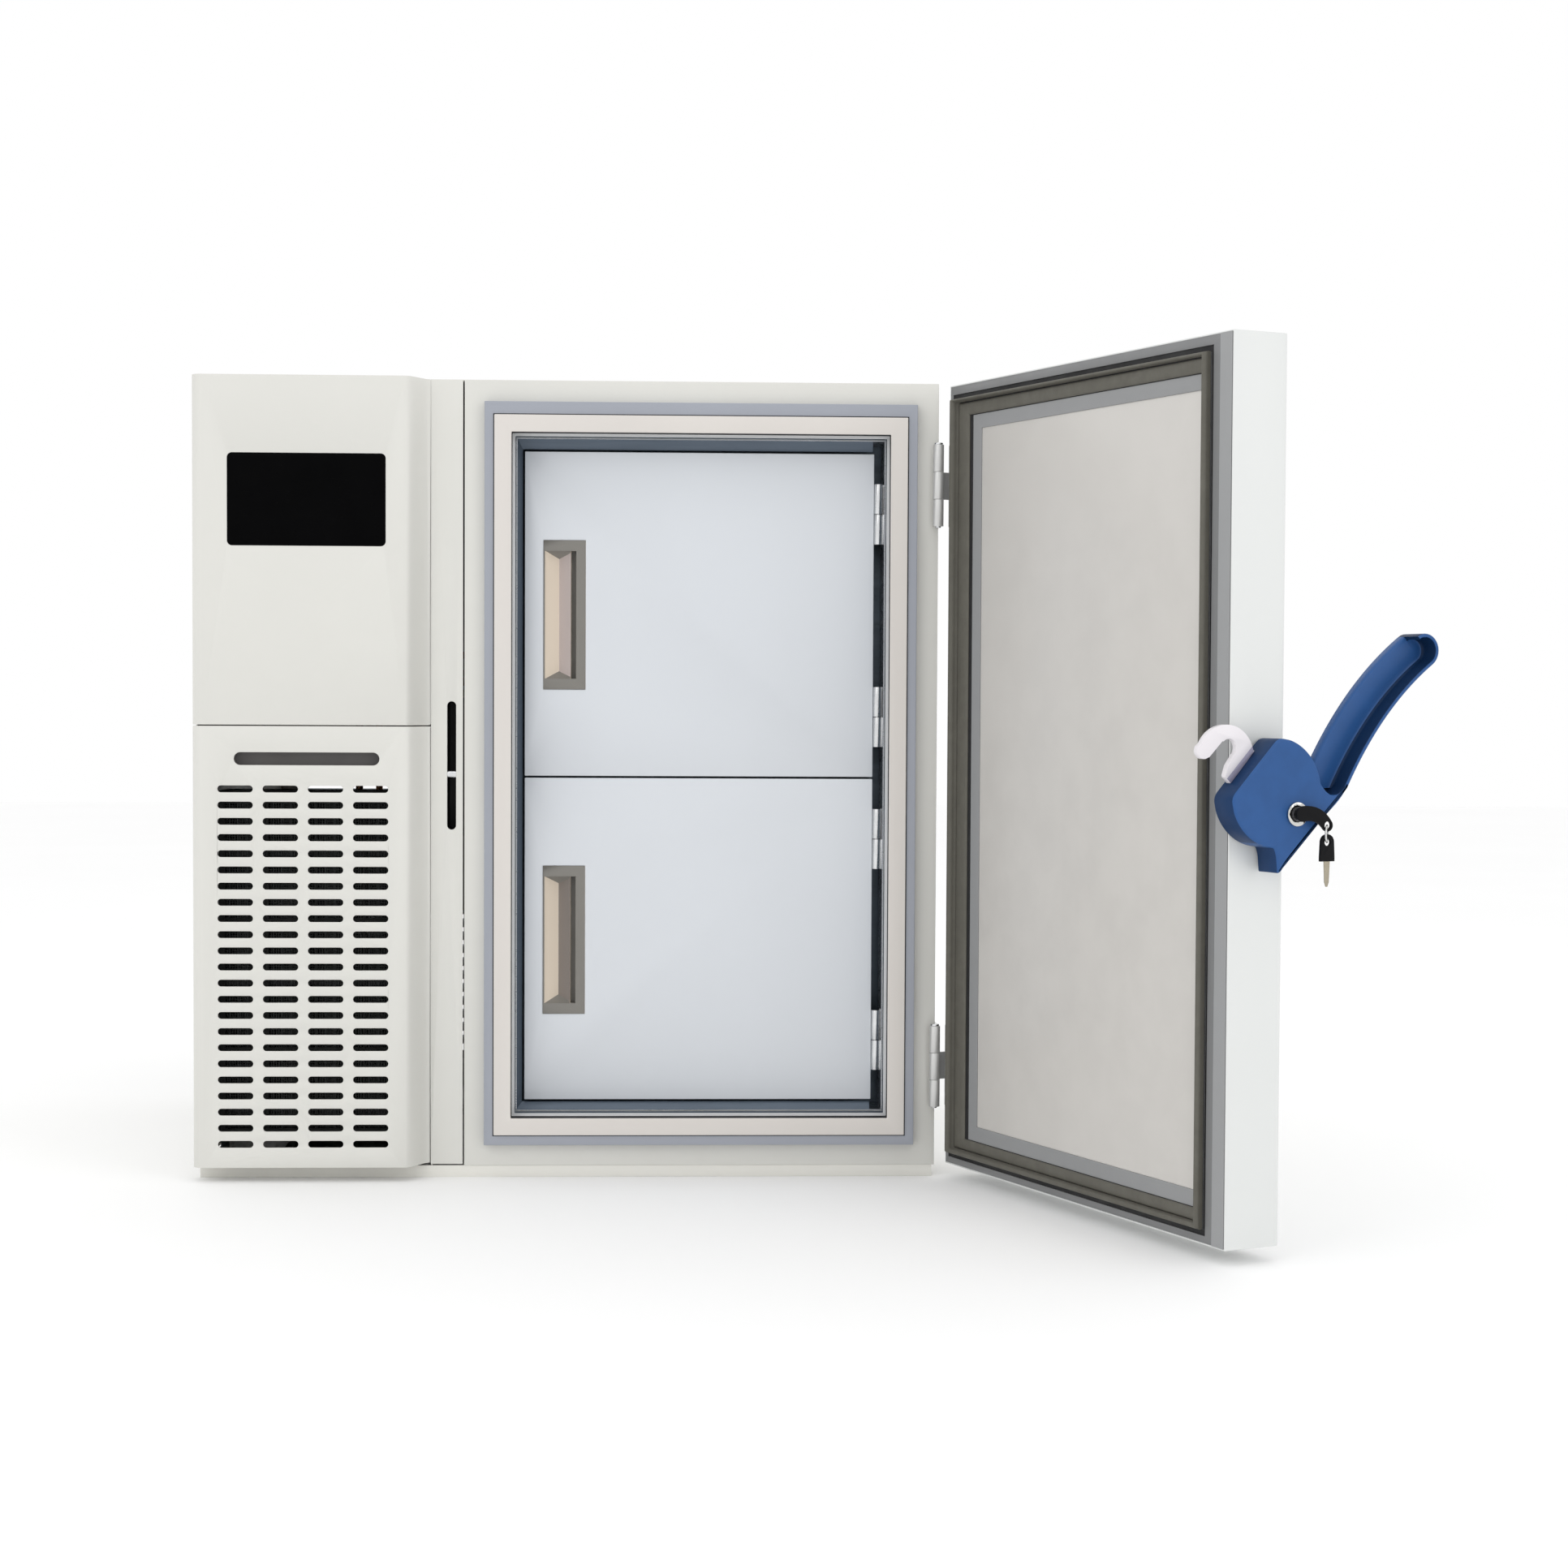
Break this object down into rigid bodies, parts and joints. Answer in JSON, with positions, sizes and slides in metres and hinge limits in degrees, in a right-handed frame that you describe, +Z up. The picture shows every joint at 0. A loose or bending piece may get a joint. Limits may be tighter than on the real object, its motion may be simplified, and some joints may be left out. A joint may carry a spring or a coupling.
{
  "type": "ultra low temperature freezer",
  "caption": "Compact under-counter laboratory deep freezer with a thick hinged outer door, a lever latch with key lock, inner doors and a service cover beside them.",
  "frame": {"origin": "floor level at the centre of the cabinet's footprint", "axes": "+Z up, -Y out of the front, where the doors are, +X to the right seen from the front"},
  "size_m": [1.1643, 1.0433, 0.815],
  "materials": {
    "white_steel": "satin",
    "galvanised": "satin",
    "foam": "matte",
    "trim_grey": "satin",
    "cream_plastic": "satin",
    "liner_steel": "satin",
    "copper": "satin",
    "bright_steel": "polished",
    "black_glass": "gloss",
    "dark_plastic": "matte",
    "grey_recess": "matte",
    "filter_mesh": "matte",
    "aluminium_fins": "satin",
    "cast_black": "satin",
    "door_inner_white": "gloss",
    "seal_rubber": "matte",
    "border_grey": "satin",
    "handle_blue": "satin",
    "hook_white": "satin",
    "chrome": "polished",
    "key_black": "satin",
    "key_brass": "satin",
    "inner_door_white": "satin",
    "tray_bronze": "satin",
    "hinge_steel": "satin"
  },
  "bodies": {
    "cabinet": {"base_tray": "galvanised", "levelling_feet": "bright_steel", "top_panel": "white_steel", "left_panel": "white_steel", "right_panel": "white_steel", "rear_panel": "white_steel", "rear_grille": "galvanised", "bay_divider": "galvanised", "insulation_foam": "foam", "front_frame": "white_steel", "seat_ring": "trim_grey", "breaker_frame": "cream_plastic", "inner_liner": "liner_steel", "stop_frame": "liner_steel", "storage_shelf": "liner_steel", "evaporator_coil": "copper", "latch_strip": "white_steel", "slot_pocket": "dark_plastic", "strike_pin": "bright_steel", "upper_front_panel": "white_steel", "touch_display": "black_glass", "cover_pivots": "galvanised", "dust_filter": "filter_mesh", "condenser": "aluminium_fins", "fan_shroud": "dark_plastic", "fan_motor": "cast_black", "first_compressor": "cast_black", "second_compressor": "cast_black", "heat_exchanger": "foam", "refrigerant_pipes": "copper", "electrical_box": "galvanised", "mains_inlet": "dark_plastic", "access_port": "cream_plastic", "cabinet_hinge_leaves": "hinge_steel", "door_hinge_pins": "bright_steel", "inner_hinge_frames": "bright_steel", "inner_door_seals": "seal_rubber"},
    "service_cover": {"service_cover": "white_steel", "finger_recess": "grey_recess"},
    "fan": {"fan_blade": "dark_plastic"},
    "rocker": {"power_rocker": "key_black"},
    "outer_door": {"door_shell": "white_steel", "door_foam": "foam", "door_border": "border_grey", "door_liner": "door_inner_white", "door_gasket": "seal_rubber", "door_hinge_leaves": "hinge_steel", "latch_base": "hook_white"},
    "latch": {"latch_handle": "handle_blue", "latch_hook": "hook_white", "lock_barrel": "chrome"},
    "lock": {"lock_plug": "chrome", "key": "key_black"},
    "spare_key": {"spare_key": "key_black"},
    "upper_door": {"upper_inner_door": "inner_door_white", "upper_pull_tray": "tray_bronze", "upper_hinge_leaves": "hinge_steel"},
    "lower_door": {"lower_inner_door": "inner_door_white", "lower_pull_tray": "tray_bronze", "lower_hinge_leaves": "hinge_steel"}
  },
  "joints": [
    {"name": "outer_door_hinge", "type": "hinge", "parent": "cabinet", "child": "outer_door", "pos_m": [0.3767, -0.2883, 0.4135], "axis": [0, 0, 1], "range_deg": [-114.4, 5.6]},
    {"name": "latch_pivot", "type": "hinge", "parent": "outer_door", "child": "latch", "pos_m": [0.61856, -0.72126, 0.4142], "axis": [0.4131, -0.9107, 0], "range_deg": [0, 45]},
    {"name": "lock_turn", "type": "hinge", "parent": "latch", "child": "lock", "pos_m": [0.6454, -0.73104, 0.3956], "axis": [0.4131, -0.9107, 0], "range_deg": [-90, 0]},
    {"name": "spare_key_swing", "type": "hinge", "parent": "lock", "child": "spare_key", "pos_m": [0.67336, -0.72901, 0.3859], "axis": [0.4131, -0.9107, 0], "range_deg": [0, 90]},
    {"name": "upper_door_hinge", "type": "hinge", "parent": "cabinet", "child": "upper_door", "pos_m": [0.3177, -0.26, 0.578], "axis": [0, 0, 1], "range_deg": [0, 100]},
    {"name": "lower_door_hinge", "type": "hinge", "parent": "cabinet", "child": "lower_door", "pos_m": [0.3177, -0.26, 0.243], "axis": [0, 0, 1], "range_deg": [0, 100]},
    {"name": "cover_tilt", "type": "hinge", "parent": "cabinet", "child": "service_cover", "pos_m": [-0.2575, -0.2835, 0.019], "axis": [1, 0, 0], "range_deg": [0, 25]},
    {"name": "fan_spin", "type": "hinge", "parent": "cabinet", "child": "fan", "pos_m": [-0.2575, -0.21, 0.214], "axis": [0, 1, 0], "continuous": true},
    {"name": "power_switch", "type": "hinge", "parent": "cabinet", "child": "rocker", "pos_m": [-0.2655, 0.276, 0.64], "axis": [1, 0, 0], "range_deg": [0, 12]}
  ],
  "couplings": [
    {"joint": "spare_key_swing", "follows": "lock_turn", "ratio": -1}
  ]
}
